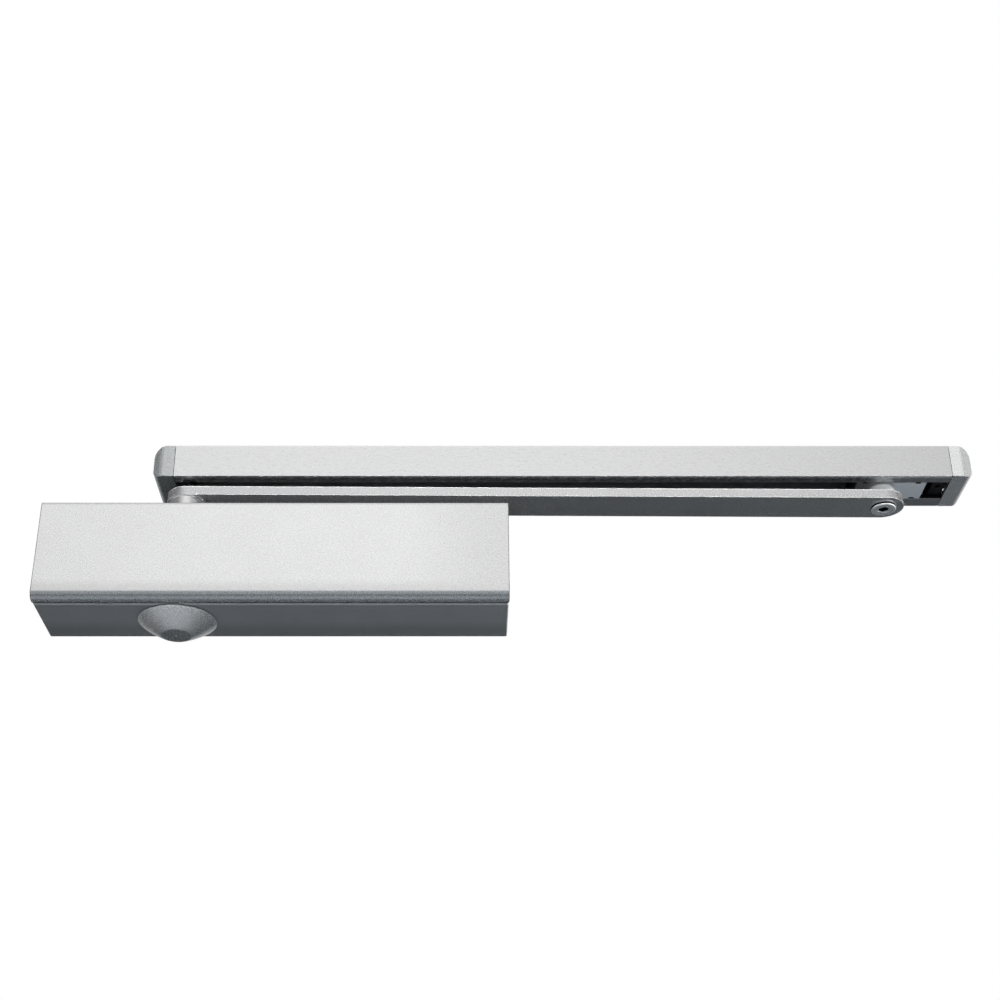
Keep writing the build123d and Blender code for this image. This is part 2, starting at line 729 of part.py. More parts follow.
with BuildPart() as arm_screw:
    with BuildSketch(spindle_plane.offset(square_top - arm_screw_depth)):
        Circle(arm_screw_radius - press_gap)
    extrude(amount=arm_top - square_top + arm_screw_depth)
    with BuildSketch(spindle_plane.offset(arm_top)):
        Circle(arm_head_radius)
    extrude(amount=arm_head_height)
    fillet(arm_screw.edges().group_by(Axis.Z)[-1], arm_head_height / 2)
    with BuildSketch(spindle_plane.offset(arm_top + arm_head_height)):
        RegularPolygon(hexagon_radius(screw_socket), 6)
    extrude(amount=-socket_depth, mode=Mode.SUBTRACT)
save(arm_screw.part, "arm_screw")

# Pivot: a shouldered screw through the arm, a bush above the arm and the slider block
pivot_head_bottom = arm_bottom - pivot_head_proud
pivot_head_top = pivot_head_bottom + pivot_head_height

with BuildPart() as pivot_screw:
    with BuildSketch(pivot_section):
        with BuildLine():
            Polyline(
                (0, pivot_head_bottom),
                (pivot_head_radius - pivot_head_edge, pivot_head_bottom),
                (pivot_head_radius, pivot_head_bottom + pivot_head_edge),
                (pivot_head_radius, pivot_head_top),
                (pivot_radius, pivot_head_top),
                (pivot_radius, track_bottom),
                (pivot_thread_radius, track_bottom),
                (pivot_thread_radius, track_bottom + pivot_thread_length),
                (0, track_bottom + pivot_thread_length),
                close=True,
            )
        make_face()
    revolve(axis=pivot_axis)
    with BuildSketch(pivot_plane.offset(pivot_head_bottom)):
        RegularPolygon(hexagon_radius(pivot_socket), 6, rotation=30)
    extrude(amount=pivot_socket_depth, mode=Mode.SUBTRACT)
save(pivot_screw.part, "pivot_screw")

with BuildPart() as pivot_bush:
    with BuildSketch(pivot_plane.offset(arm_top + axial_play)):
        Circle(bush_radius)
        Circle(pivot_radius + press_gap, mode=Mode.SUBTRACT)
    extrude(amount=bush_height - axial_play)
save(pivot_bush.part, "pivot_bush")

neck_front = slot_y - slot_width / 2 + play
neck_back = slot_y + slot_width / 2 - play
head_front = -track_depth + track_wall + play
head_back = -track_wall - play
head_bottom = lip_top + play + glide_thickness
slider_length = slider_left_reach + slider_right_reach
slider_left = pivot_x - slider_left_reach
slider_middle = slider_left + slider_length / 2
notch_places = [
    (side * (slider_length / 2 - notch_inset - notch_length / 2), edge)
    for side in (-1, 1)
    for edge in (neck_front + notch_depth / 2, neck_back - notch_depth / 2)
]

with BuildPart() as slider_block:
    with BuildSketch(Plane.YZ.offset(slider_left)):
        with BuildLine():
            Polyline(
                (neck_front, track_bottom),
                (neck_back, track_bottom),
                (neck_back, head_bottom),
                (head_back, head_bottom),
                (head_back, head_bottom + slider_head),
                (head_front, head_bottom + slider_head),
                (head_front, head_bottom),
                (neck_front, head_bottom),
                close=True,
            )
        make_face()
    extrude(amount=slider_length)
    bottom_ends = slider_block.faces().sort_by(Axis.Z)[0].edges().filter_by(Axis.Y)
    chamfer(bottom_ends, slider_edge)
    with BuildSketch(Plane(origin=(slider_middle, 0, track_bottom))):
        with Locations(*notch_places):
            Rectangle(notch_length, notch_depth)
    extrude(amount=lip_thickness, mode=Mode.SUBTRACT)
    with BuildSketch(pivot_plane.offset(track_bottom)):
        Circle(pivot_thread_radius + press_gap)
    extrude(amount=pivot_thread_length + play, mode=Mode.SUBTRACT)
save(slider_block.part, "slider_block")

with BuildPart() as slider_glides:
    for near, far in ((head_front, neck_front - play), (neck_back + play, head_back)):
        with BuildSketch(Plane(origin=(slider_middle, (near + far) / 2, lip_top + play))):
            Rectangle(slider_length - 2 * glide_inset, far - near)
        extrude(amount=glide_thickness)
save(slider_glides.part, "slider_glides")

# Track: a channel open downwards, a fixing bracket in each end and a cap over each bracket
channel_inner_front = -track_depth + track_wall
ceiling = track_top - track_web

with BuildPart() as track_channel:
    with BuildSketch(Plane.YZ.offset(channel_left)):
        with BuildLine():
            Polyline(
                (-track_depth, track_bottom),
                (-track_depth + front_lip, track_bottom),
                (-track_depth + front_lip, lip_top),
                (channel_inner_front, lip_top),
                (channel_inner_front, ceiling),
                (-track_wall, ceiling),
                (-track_wall, lip_top),
                (-rear_lip, lip_top),
                (-rear_lip, track_bottom),
                (0, track_bottom),
                (0, track_top),
                (-track_depth, track_top),
                close=True,
            )
        make_face()
    extrude(amount=channel_length)
    lower_edges = track_channel.edges().filter_by(Axis.X).group_by(Axis.Z)[0].sort_by(Axis.Y)
    fillet([lower_edges[0], lower_edges[-1]], track_edge)
save(track_channel.part, "track_channel")

lug_length = end_cap_pocket - play
bracket_middle = -track_depth / 2
track_sides = (("left", channel_left, -1), ("right", channel_right, 1))

for name, seam, side in track_sides:
    view_plane = Plane(origin=(seam, 0, track_bottom), x_dir=(side, 0, 0), z_dir=(0, -side, 0))
    plan_plane = Plane(origin=(seam, 0, track_bottom), x_dir=(side, 0, 0), z_dir=(0, 0, side))
    with BuildPart() as end_cap:
        with BuildSketch(view_plane) as cap_view:
            Rectangle(end_cap_length, track_height, align=(Align.MIN, Align.MIN))
            outer_corners = cap_view.vertices().group_by(Axis.X)[-1].sort_by(Axis.Y)
            fillet(outer_corners[0], end_cap_foot)
            fillet(outer_corners[-1], end_cap_corner)
        extrude(amount=side * track_depth)
        with BuildSketch(plan_plane) as cap_plan:
            with BuildLine():
                Polyline(
                    (0, 0),
                    (0, -track_depth),
                    (end_cap_flat, -track_depth),
                    (end_cap_length, end_cap_slope - track_depth),
                    (end_cap_length, 0),
                    close=True,
                )
            make_face()
            outer_corners = cap_plan.vertices().group_by(Axis.X)[-1].sort_by(Axis.Y)
            bend = cap_plan.vertices().group_by(Axis.Y)[0].sort_by(Axis.X)[-1]
            fillet(outer_corners[0], end_cap_edge)
            fillet(outer_corners[-1], end_cap_rear_edge)
            fillet(bend, end_cap_bend)
        extrude(amount=side * track_height, mode=Mode.INTERSECT)
        with BuildSketch(view_plane) as cap_hollow:
            with Locations((0, lip_thickness)):
                Rectangle(
                    end_cap_pocket,
                    track_height - lip_thickness - end_cap_wall,
                    align=(Align.MIN, Align.MIN),
                )
            inner_top = cap_hollow.vertices().group_by(Axis.Y)[-1].sort_by(Axis.X)[-1]
            fillet(inner_top, end_cap_corner - end_cap_wall)
        extrude(amount=side * (track_depth - end_cap_slope - end_cap_wall), mode=Mode.SUBTRACT)
    save(end_cap.part, f"{name}_end_cap")

    with BuildPart() as bracket:
        with BuildSketch(Plane(origin=(seam, bracket_middle, lip_top + press_gap))):
            Rectangle(bracket_insert, track_depth - 2 * track_wall - 2 * press_gap, align=(
                Align.MAX if side > 0 else Align.MIN, Align.CENTER))
        extrude(amount=ceiling - lip_top - 2 * press_gap)
        with BuildSketch(view_plane):
            with Locations((0, lip_thickness + press_gap)):
                Rectangle(
                    lug_length,
                    track_height - track_web - lip_thickness - 2 * press_gap - end_cap_corner / 2,
                    align=(Align.MIN, Align.MIN),
                )
        extrude(amount=side * bracket_lug)
        with BuildSketch(view_plane):
            with Locations((lug_length / 2, track_height / 2)):
                Circle(track_hole_radius)
        extrude(amount=side * bracket_lug, mode=Mode.SUBTRACT)
        with BuildSketch(Plane(origin=(seam - side * bracket_insert / 2, slot_y, lip_top))):
            Circle(grub_radius)
        extrude(amount=ceiling - lip_top, mode=Mode.SUBTRACT)
    save(bracket.part, f"{name}_track_bracket")

with BuildPart() as bracket_screws:
    for name, seam, side in track_sides:
        grub_plane = Plane(origin=(seam - side * bracket_insert / 2, slot_y, lip_top + play))
        with BuildSketch(grub_plane):
            Circle(grub_radius - press_gap)
        extrude(amount=ceiling - lip_top - play - press_gap)
        with BuildSketch(grub_plane):
            RegularPolygon(hexagon_radius(grub_radius), 6)
        extrude(amount=grub_radius, mode=Mode.SUBTRACT)
save(bracket_screws.part, "bracket_screws")
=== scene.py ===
import json
from math import radians

import bmesh
import bpy
import numpy as np
from mathutils import Matrix, Vector


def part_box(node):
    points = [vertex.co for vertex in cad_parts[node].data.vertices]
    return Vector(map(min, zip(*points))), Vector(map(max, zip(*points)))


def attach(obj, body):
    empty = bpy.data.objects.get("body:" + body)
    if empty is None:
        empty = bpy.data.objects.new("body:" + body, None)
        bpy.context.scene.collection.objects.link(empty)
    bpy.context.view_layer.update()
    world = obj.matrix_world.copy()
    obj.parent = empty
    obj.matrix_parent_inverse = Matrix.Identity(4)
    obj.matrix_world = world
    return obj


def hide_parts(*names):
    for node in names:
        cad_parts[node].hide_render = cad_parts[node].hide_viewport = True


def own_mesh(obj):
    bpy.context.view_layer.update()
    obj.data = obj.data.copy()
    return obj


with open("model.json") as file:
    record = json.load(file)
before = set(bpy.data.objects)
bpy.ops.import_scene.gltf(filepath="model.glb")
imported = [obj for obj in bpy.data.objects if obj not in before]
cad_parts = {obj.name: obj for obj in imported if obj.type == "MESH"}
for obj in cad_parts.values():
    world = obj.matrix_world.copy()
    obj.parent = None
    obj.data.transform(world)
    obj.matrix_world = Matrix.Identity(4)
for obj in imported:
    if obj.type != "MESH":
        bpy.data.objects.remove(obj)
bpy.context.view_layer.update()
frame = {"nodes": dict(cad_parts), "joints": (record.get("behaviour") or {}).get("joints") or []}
MM = 0.001
same_point_m = 2e-6  # points closer than this are one
nodes = frame["nodes"]
joint_place = {j["name"]: np.array(j.get("pos_m", (0, 0, 0)), float) / MM for j in frame["joints"]}
spindle = joint_place["arm_swing"]
pivot = joint_place["slider_pivot"]


def corners(node):
    """Lowest and highest corner of a solid in millimetres."""
    low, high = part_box(node)
    return np.array(low, float) / MM, np.array(high, float) / MM


# Surfaces: grids of points, the faces between them and the meshes they make


def lattice(rows, cols, close_rows=False, close_cols=False):
    """Quads of a grid: each joins point (i, j) with its next neighbours. Closed ways lead back to the
    start."""
    i = np.arange(rows if close_rows else rows - 1)[:, None]
    j = np.arange(cols if close_cols else cols - 1)[None]
    this_row, next_row = i * cols, (i + 1) % rows * cols
    next_j = (j + 1) % cols
    quads = np.broadcast_arrays(this_row + j, this_row + next_j, next_row + next_j, next_row + j)
    return np.stack(quads, -1).reshape(-1, 4).tolist()


def sheet(points, close_rows=False, close_cols=False):
    """A grid of points as a sheet: its points in a row and the quads between them."""
    points = np.asarray(points, float)
    return points.reshape(-1, 3), lattice(points.shape[0], points.shape[1], close_rows, close_cols)


def panel(points):
    """A flat face with the given outline."""
    points = np.asarray(points, float).reshape(-1, 3)
    return points, [list(range(len(points)))]


def block(low, high):
    """A box's eight corners and six faces; corner number is 4 x high + 2 y high + z high."""
    low, high = np.asarray(low, float), np.asarray(high, float)
    pick = np.stack(np.meshgrid([0, 1], [0, 1], [0, 1], indexing="ij"), -1).reshape(-1, 3)
    faces = [[0, 1, 3, 2], [4, 6, 7, 5], [0, 4, 5, 1], [2, 3, 7, 6], [0, 2, 6, 4], [1, 5, 7, 3]]
    return low + pick * (high - low), faces


def joined(*sheets):
    """Several sheets as one: each one's face numbers go up by the points that come before it."""
    starts = np.cumsum([0] + [len(points) for points, _ in sheets[:-1]])
    faces = [[int(k + start) for k in face] for (_, own), start in zip(sheets, starts) for face in own]
    return np.concatenate([points for points, _ in sheets]), faces


def rounded(outline, radii, steps=8):
    """A closed outline with round corners. A circle of the corner's radius touches both sides; its arc is the
    centre plus a mix of the two touching directions, weighted by the sines of the angles to each."""
    at = np.asarray(outline, float)
    radii = np.asarray(radii, float)[:, None]
    back, on = np.roll(at, 1, 0) - at, np.roll(at, -1, 0) - at
    back /= np.linalg.norm(back, axis=1)[:, None]
    on /= np.linalg.norm(on, axis=1)[:, None]
    half = np.arccos(np.clip((back * on).sum(1), -1, 1))[:, None] / 2
    middle = back + on
    centre = at + middle / np.linalg.norm(middle, axis=1)[:, None] * radii / np.sin(half)
    first, last = at + back * radii / np.tan(half) - centre, at + on * radii / np.tan(half) - centre
    sweep = (np.pi - 2 * half)[:, :, None]
    k = np.linspace(0, 1, steps + 1)[None, :, None]
    arc = (np.sin((1 - k) * sweep) * first[:, None] + np.sin(k * sweep) * last[:, None]) / np.sin(sweep)
    return (centre[:, None] + arc).reshape(-1, 2)


def piece(name, shape, body, finish, replaced, crease=35):
    """A mesh from a sheet in millimetres: doubles merged, faces turned outwards, smooth up to the crease
    angle. Wide flats keep their own shading because corner normals are weighted by area."""
    points, faces = shape
    mesh = bpy.data.meshes.new(name)
    mesh.from_pydata((points * MM).tolist(), [], faces)
    work = bmesh.new()
    work.from_mesh(mesh)
    bmesh.ops.remove_doubles(work, verts=work.verts, dist=same_point_m)
    bmesh.ops.recalc_face_normals(work, faces=work.faces)
    work.to_mesh(mesh)
    work.free()
    mesh.polygons.foreach_set("use_smooth", np.ones(len(mesh.polygons), bool))
    mesh.set_sharp_from_angle(angle=radians(crease))
    mesh.materials.append(finish)
    made = bpy.data.objects.new(name, mesh)
    bpy.context.scene.collection.objects.link(made)
    weigh = made.modifiers.new("flat_shading", "WEIGHTED_NORMAL")
    weigh.keep_sharp = True
    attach(made, body)
    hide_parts(*replaced)
    return made


around = 96
turn = np.linspace(0, 2 * np.pi, around, endpoint=False)


def rings(rows, centre):
    """Rings about an upright axis: row (r, z) becomes centre + r (cos, sin) at height z. r may differ round
    the ring."""
    radius = np.stack([np.broadcast_to(np.asarray(r, float), turn.shape) for r, _ in rows])
    height = np.broadcast_to(np.array([z for _, z in rows], float)[:, None], radius.shape)
    return np.stack([centre[0] + radius * np.cos(turn), centre[1] + radius * np.sin(turn), height], -1)


def hex_ring(across):
    """Radius of a hexagon round its centre: half its width over the cosine of the angle to the nearest
    flat."""
    return across / 2 / np.cos(np.mod(turn + radians(30), radians(60)) - radians(30))


def square_ring(across, limit):
    """Radius of a square round its centre, cut off at a limit: half its width over the larger of cosine and
    sine."""
    return np.minimum(across / 2 / np.maximum(np.abs(np.cos(turn)), np.abs(np.sin(turn))), limit)


spindle_socket = square_ring(10.04, 6.3)  # fits the spindle's square ends


def arc_rows(r, z, radius, start, end, steps=6):
    """Profile rows along a quarter circle about (r, z), from one angle to another in degrees."""
    a = np.radians(np.linspace(start, end, steps + 1))
    return list(zip(r + radius * np.cos(a), z + radius * np.sin(a)))


# Finishes


def shader(name):
    """A new node material with its shader, its nodes and the call that links two sockets."""
    material = bpy.data.materials.new(name)
    material.use_nodes = True
    tree = material.node_tree
    return material, tree.nodes["Principled BSDF"], tree.nodes, tree.links.new


def maths(add, join, operation, *sources):
    """The result of a maths node whose inputs are other results or plain numbers."""
    step = add.new("ShaderNodeMath")
    step.operation = operation
    for socket, source in zip(step.inputs, sources):
        if isinstance(source, float):
            socket.default_value = source
        else:
            join(source, socket)
    return step.outputs["Value"]


def ramp(add, join, source, start, end, near, far, way="SMOOTHSTEP"):
    """A value that is near up to a start, far beyond an end, and goes over from one to the other between."""
    made = add.new("ShaderNodeMapRange")
    made.interpolation_type = way
    for name, value in (("From Min", start), ("From Max", end), ("To Min", near), ("To Max", far)):
        made.inputs[name].default_value = value
    join(source, made.inputs["Value"])
    return made.outputs["Result"]


def spread(add, join, source, low, high):
    """Maps the middle of a noise to the range from low to high."""
    noise_low, noise_high = 0.3, 0.7
    return ramp(add, join, source, noise_low, noise_high, low, high, "LINEAR")


def between(add, join, source, start, end, soft):
    """A mask that rises to one at a start along an axis and falls back to nothing at an end, in
    millimetres."""
    sides = [
        ramp(add, join, source, (place - step / 2) * MM, (place + step / 2) * MM, 0.0, 1.0)
        for place, step in ((start, soft), (end, -soft))
    ]
    return maths(add, join, "MULTIPLY", *sides)


def speckled(name, colour, metal, rough, grain_mm, grain_depth, mottle, stretch=(1, 1, 1), bands=()):
    """Metal or paint with a fine grain: noise at the grain's size shades the colour, the gloss and the bump.
    Bands are painted shade, painted shadow and painted highlight lines: an axis, two places along it, a soft
    width, and the colour and metal share between them."""
    cloud_mm, gloss_swing = 28.0, 0.06
    material, body, add, join = shader(name)
    place = add.new("ShaderNodeTexCoord")
    turned = add.new("ShaderNodeMapping")
    turned.inputs["Scale"].default_value = stretch
    join(place.outputs["Object"], turned.inputs["Vector"])
    fine, broad = add.new("ShaderNodeTexNoise"), add.new("ShaderNodeTexNoise")
    for noise, size_mm, detail in ((fine, grain_mm, 3.0), (broad, cloud_mm, 4.0)):
        noise.inputs["Scale"].default_value = 1000.0 / size_mm
        noise.inputs["Detail"].default_value = detail
        join(turned.outputs["Vector"], noise.inputs["Vector"])
    grain, cloud = fine.outputs["Fac"], broad.outputs["Fac"]
    tint = add.new("ShaderNodeVectorMath")
    tint.operation = "SCALE"
    tint.inputs[0].default_value = colour
    grain_shade = spread(add, join, grain, 1 - mottle, 1 + mottle)
    cloud_shade = spread(add, join, cloud, 1 - mottle / 2, 1 + mottle / 2)
    join(maths(add, join, "MULTIPLY", grain_shade, cloud_shade), tint.inputs["Scale"])
    shade = tint.outputs["Vector"]
    split = add.new("ShaderNodeSeparateXYZ")
    join(place.outputs["Object"], split.inputs["Vector"])
    body.inputs["Metallic"].default_value = metal
    share = None
    for axis, start, end, soft, band_colour, band_metal in bands:
        mask = between(add, join, split.outputs[axis], start, end, soft)
        # A colour mix has its two colours at inputs 6 and 7 and its result at output 2
        blend = add.new("ShaderNodeMix")
        blend.data_type = "RGBA"
        blend.inputs[7].default_value = (*band_colour, 1)
        join(mask, blend.inputs[0])
        join(shade, blend.inputs[6])
        shade = blend.outputs[2]
        # A number mix has its two numbers at inputs 2 and 3 and its result at output 0
        mix = add.new("ShaderNodeMix")
        mix.inputs[2].default_value = metal
        mix.inputs[3].default_value = band_metal
        join(mask, mix.inputs[0])
        if share:
            join(share, mix.inputs[2])
        share = mix.outputs[0]
    join(shade, body.inputs["Base Color"])
    if share:
        join(share, body.inputs["Metallic"])
    join(spread(add, join, grain, rough - gloss_swing, rough + gloss_swing), body.inputs["Roughness"])
    lift = add.new("ShaderNodeBump")
    lift.inputs["Strength"].default_value = 1.0
    lift.inputs["Distance"].default_value = grain_depth * MM
    join(grain, lift.inputs["Height"])
    join(lift.outputs["Normal"], body.inputs["Normal"])
    body.inputs["Specular Tint"].default_value = (0.35, 0.35, 0.36, 1)
    return material


(_, _, cover_low), (cover_right, _, cover_top) = corners("front_cover")
(_, seam_y, _), (casting_right, rear_y, casting_top) = corners("body_casting")
cover_paint = speckled(
    "cover_paint", (0.85, 0.85, 0.85), 0.9, 0.28, 0.8, 0.002, 0.03,
    bands=[  # painted shade: right end, lower front, lower bend; painted highlight: back edge; painted shade: upper edge, painted shadow line above it
        ("X", cover_right - 35, cover_right + 60, 60, (0.76, 0.76, 0.76), 0.9),
        ("Z", cover_low - 20, cover_low + 9, 7, (0.76, 0.76, 0.76), 1.0),
        ("Z", cover_low - 20, cover_low + 4.9, 1.5, (0.69, 0.70, 0.705), 1.0),
        ("Y", seam_y - 2.6, seam_y + 5, 1.0, (0.80, 0.81, 0.82), 0.75),
        ("Z", cover_top - 0.8, cover_top + 0.15, 0.5, (0.66, 0.66, 0.665), 0.9),
        ("Z", cover_top + 0.1, cover_top + 0.34, 0.1, (0.10, 0.10, 0.10), 0.9),
    ],
)
# Darker than the cover's silver paint: partly the casting's own grey, partly painted shade for its underside
casting_paint = speckled(
    "casting_paint", (0.56, 0.57, 0.58), 0.2, 0.45, 0.7, 0.005, 0.05,
    bands=[  # painted shade on the rear part, the seam painted near black as its shade, painted highlight on the land beside it
        ("Y", rear_y - 16, rear_y + 20, 14, (0.43, 0.435, 0.44), 0.2),
        ("Y", seam_y - 0.5, seam_y + 0.6, 0.1, (0.01, 0.01, 0.01), 0.2),
        ("Y", seam_y + 0.65, seam_y + 3.1, 0.3, (0.98, 0.98, 0.98), 0.0),
    ],
)
cap_paint = speckled("cap_paint", (0.70, 0.705, 0.71), 0.6, 0.26, 0.7, 0.003, 0.03)
(_, _, arm_seat), (arm_right, _, arm_top) = corners("arm_bar")
arm_low, arm_high = arm_seat - 0.3, arm_top - 0.25  # both faces lie a little lower than the solid's
arm_paint = speckled(
    "arm_paint", (0.65, 0.65, 0.655), 0.8, 0.24, 0.8, 0.001, 0.02,
    bands=[  # painted shade on the left part, painted highlights on the lower and the upper edge
        ("X", spindle[0] - 145, spindle[0] + 75.2, 120, (0.59, 0.595, 0.60), 0.8),
        ("Z", arm_low + 0.06, arm_low + 0.45, 0.1, (0.88, 0.88, 0.88), 0.55),
        ("Z", arm_high - 0.55, arm_high - 0.06, 0.1, (0.98, 0.98, 0.98), 0.35),
    ],
)
hub_steel = speckled(
    "hub_steel", (0.74, 0.74, 0.745), 0.85, 0.22, 0.5, 0.001, 0.02,
    # Painted highlight: a light line along the hub's top edge under the arm
    bands=[("Z", arm_low - 0.6, arm_low + 0.2, 0.2, (0.90, 0.90, 0.90), 0.6)],
)
(_, track_front, track_low), (_, _, track_high) = corners("track_channel")
track_satin = speckled(
    "track_satin", (0.56, 0.56, 0.565), 0.92, 0.24, 0.5, 0.002, 0.03, stretch=(0.15, 1, 1),
    bands=[  # painted highlight on the front of the underside; all above it lighter, so the underside's base is painted shade; painted highlight on the upper edge
        ("Y", track_front - 5, track_front + 2.2, 2.4, (0.95, 0.96, 0.97), 0.7),
        ("Z", track_low + 0.25, track_high + 5, 0.1, (0.76, 0.76, 0.765), 0.9),
        ("Z", track_high - 1.0, track_high - 0.02, 0.3, (0.80, 0.80, 0.80), 0.9),
    ],
)
track_inside = speckled(
    "track_inside", (0.60, 0.60, 0.61), 0.5, 0.5, 0.5, 0.002, 0.05, stretch=(0.15, 1, 1),
    # Painted shade: near black on the slot's walls and the lips
    bands=[("Z", track_low - 5, track_low + 3.2, 0.2, (0.02, 0.02, 0.02), 0.5)],
)
# Both caps are one material: the left one's darker copy is painted shade, the right one's brighter copy
# painted light
left_cap_painted_shade = speckled("left_cap_painted_shade", (0.505, 0.52, 0.53), 0.66, 0.24, 0.6, 0.001, 0.02)
right_cap_painted_light = speckled("right_cap_painted_light", (0.98, 0.985, 0.99), 0.86, 0.24, 0.6, 0.001, 0.02)
bush_steel = speckled("bush_steel", (0.55, 0.56, 0.57), 0.5, 0.35, 0.4, 0.002, 0.04)
bolt_low = corners("pivot_screw")[0][2] - 0.9  # the head reaches lower than the solid's
bolt_steel = speckled(
    "bolt_steel", (0.80, 0.81, 0.83), 0.4, 0.3, 0.3, 0.001, 0.03,
    bands=[  # painted highlight just above the head's face, on the rim and the socket's mouth; painted shade, near black, deeper in the socket and on the rest of the screw
        ("Z", bolt_low + 0.1, bolt_low + 2, 0.06, (1.0, 1.0, 1.0), 0.0),
        ("Z", bolt_low + 0.8, bolt_low + 40, 0.1, (0.01, 0.01, 0.01), 0.4),
    ],
)
bright_steel = speckled("bright_steel", (0.72, 0.73, 0.75), 1.0, 0.24, 0.3, 0.001, 0.03)
black_steel = speckled("black_steel", (0.05, 0.05, 0.055), 0.9, 0.4, 0.4, 0.001, 0.05)
slider_low = corners("slider_block")[0][2]
slider_zinc = speckled(
    "slider_zinc", (0.84, 0.88, 0.92), 0.0, 0.42, 0.6, 0.004, 0.05,
    bands=[  # painted shadow left of the pivot, and painted shade, near black, on all above the underside
        ("X", pivot[0] - 200, pivot[0] - 6, 12, (0.36, 0.37, 0.39), 0.0),
        ("Z", slider_low + 0.3, slider_low + 40, 0.2, (0.02, 0.02, 0.02), 0.0),
    ],
)
spring_oiled = speckled("spring_oiled", (0.10, 0.10, 0.11), 0.8, 0.35, 0.8, 0.003, 0.1)
bearing_bronze = speckled("bearing_bronze", (0.55, 0.36, 0.13), 0.9, 0.32, 0.5, 0.002, 0.05)
black_plastic = speckled("black_plastic", (0.02, 0.02, 0.022), 0.0, 0.5, 0.6, 0.004, 0.1)
seal_rubber = speckled("seal_rubber", (0.015, 0.015, 0.016), 0.0, 0.6, 0.5, 0.004, 0.1)

# The finish that each solid wears
worn_by = {
    cover_paint: ["front_cover"],
    casting_paint: ["body_casting", "piston_end_plug", "spring_end_plug"],
    cap_paint: ["spindle_cap"],
    arm_paint: ["arm_bar"],
    hub_steel: ["arm_hub"],
    track_satin: ["track_channel"],
    left_cap_painted_shade: ["left_end_cap"],
    right_cap_painted_light: ["right_end_cap"],
    slider_zinc: ["slider_block"],
    bright_steel: [
        "pivot_screw", "arm_screw", "pivot_bush", "check_valve_ball", "check_valve_seat", "force_adjuster",
        "closing_valve", "latching_valve", "rack_piston", "spring_seat", "spindle_pinion", "upper_gland",
        "lower_gland",
    ],
    black_steel: ["bracket_screws"],
    spring_oiled: ["main_spring"],
    bearing_bronze: ["upper_bearing", "lower_bearing"],
    # Near black on the track brackets stands in for the slot's shade: painted shade
    black_plastic: ["slider_glides", "piston_ring", "left_track_bracket", "right_track_bracket"],
    seal_rubber: ["plug_seals", "shaft_seals"],
}
for finish, names in worn_by.items():
    for name in names:
        nodes[name].data.materials.clear()
        nodes[name].data.materials.append(finish)

# Body


def cover_shell():
    """Front cover. Its upright section, open at the back, is carried along the body; towards each end it
    draws in round a quarter circle, and a flat wall closes it. An inner section one wall in makes the hollow,
    and a rim joins the two. Four tabs hold it in the casting's front."""
    (_, front, _), (half, tab_back, _) = corners("front_cover")
    top_lift, seam_gap = 0.4, 0.15
    top, back = cover_top + top_lift, seam_y - seam_gap
    roll, edge, end, wall, least_edge = 5.0, 0.4, 0.6, 2.0, 0.05
    tab_x, tab_z, tab_root = casting_right - 40, casting_top - 4.5, front + 1
    tab_half, tab_thin = 4.5, 0.8  # half the width and half the thickness

    def section(inset):
        """Back, lower front, upper front and back corners of the section, drawn in by an inset."""
        low, high, face = cover_low + inset, top - inset, front + inset
        outline = [(back, low), (face, low), (face, high), (back, high)]
        return rounded(outline, [0, roll - inset, max(edge - inset, least_edge), 0], 12)

    def carried(stations, insets):
        """The section at each station along the body, with that station's inset."""
        sections = np.stack([section(inset) for inset in insets])
        x = np.broadcast_to(np.asarray(stations, float)[:, None, None], sections.shape[:2] + (1,))
        return np.concatenate([x, sections], -1)

    a = np.linspace(0, np.pi / 2, 7)
    x, draw = half - end * (1 - np.cos(a)), end * (1 - np.sin(a))
    run = np.linspace(end - half, half - end, 41)[1:-1]
    outer = carried(np.concatenate([-x, run, x[::-1]]), np.concatenate([draw, 0 * run, draw[::-1]]))
    inner = carried([wall - half, half - wall], [wall, wall])
    rim = [panel(np.concatenate([outer[:, k], inner[::-1, k]])) for k in (0, -1)]
    rim += [panel([outer[k, 0], outer[k, -1], inner[k, -1], inner[k, 0]]) for k in (0, -1)]
    tabs = [
        block((x - tab_half, tab_root, z - tab_thin), (x + tab_half, tab_back, z + tab_thin))
        for x in (-tab_x, tab_x)
        for z in (-tab_z, tab_z)
    ]
    walls = [panel(outer[0]), panel(outer[-1]), panel(inner[0]), panel(inner[-1])]
    shape = joined(sheet(outer), sheet(inner), *walls, *rim, *tabs)
    piece("cover_shell", shape, "closer_body", cover_paint, ["front_cover"])


def spindle_cone():
    """Cap under the spindle, a profile turned about it: a flat tip with a centre dimple, a flank that swells
    by a parabola, a thin rim, a hollow and a square socket for the spindle's end."""
    (_, _, low), (right, _, high) = corners("spindle_cap")
    rim = right - spindle[0]
    tip, boss, bottom, socket_deep = 8.7, 8.1, 2, 5.52
    dome, out_r, out_z = 0.32, 0.53, 0.85  # height of the dome and the way out of the flank
    k = np.linspace(0, 1, 13)[1:-1]
    swell = dome * 4 * k * (1 - k)
    flank_r = tip + (rim - tip) * k + swell * out_r
    flank_z = low + (high - 0.6 - low) * k - swell * out_z
    rows = [(0, low + 1.0), (0.5, low + 0.95), (0.9, low + 0.6), (1.2, low), (tip - 0.5, low)]
    rows += [(tip - 0.2, low + 0.05), (tip + 0.1, low + 0.2)]
    rows += list(zip(flank_r, flank_z))
    rows += [(rim - 0.12, high - 0.62), (rim, high - 0.45), (rim, high - 0.15), (rim - 0.15, high)]
    rows += [(rim - 2, high), (rim - 2.3, high - 0.4), (10.2, low + bottom), (boss, low + bottom)]
    rows += [(boss, high), (spindle_socket, high), (spindle_socket, high - socket_deep)]
    rows += [(0, high - socket_deep)]
    shape = sheet(rings(rows, spindle), close_cols=True)
    piece("spindle_cone", shape, "spindle_arm", cap_paint, ["spindle_cap"])


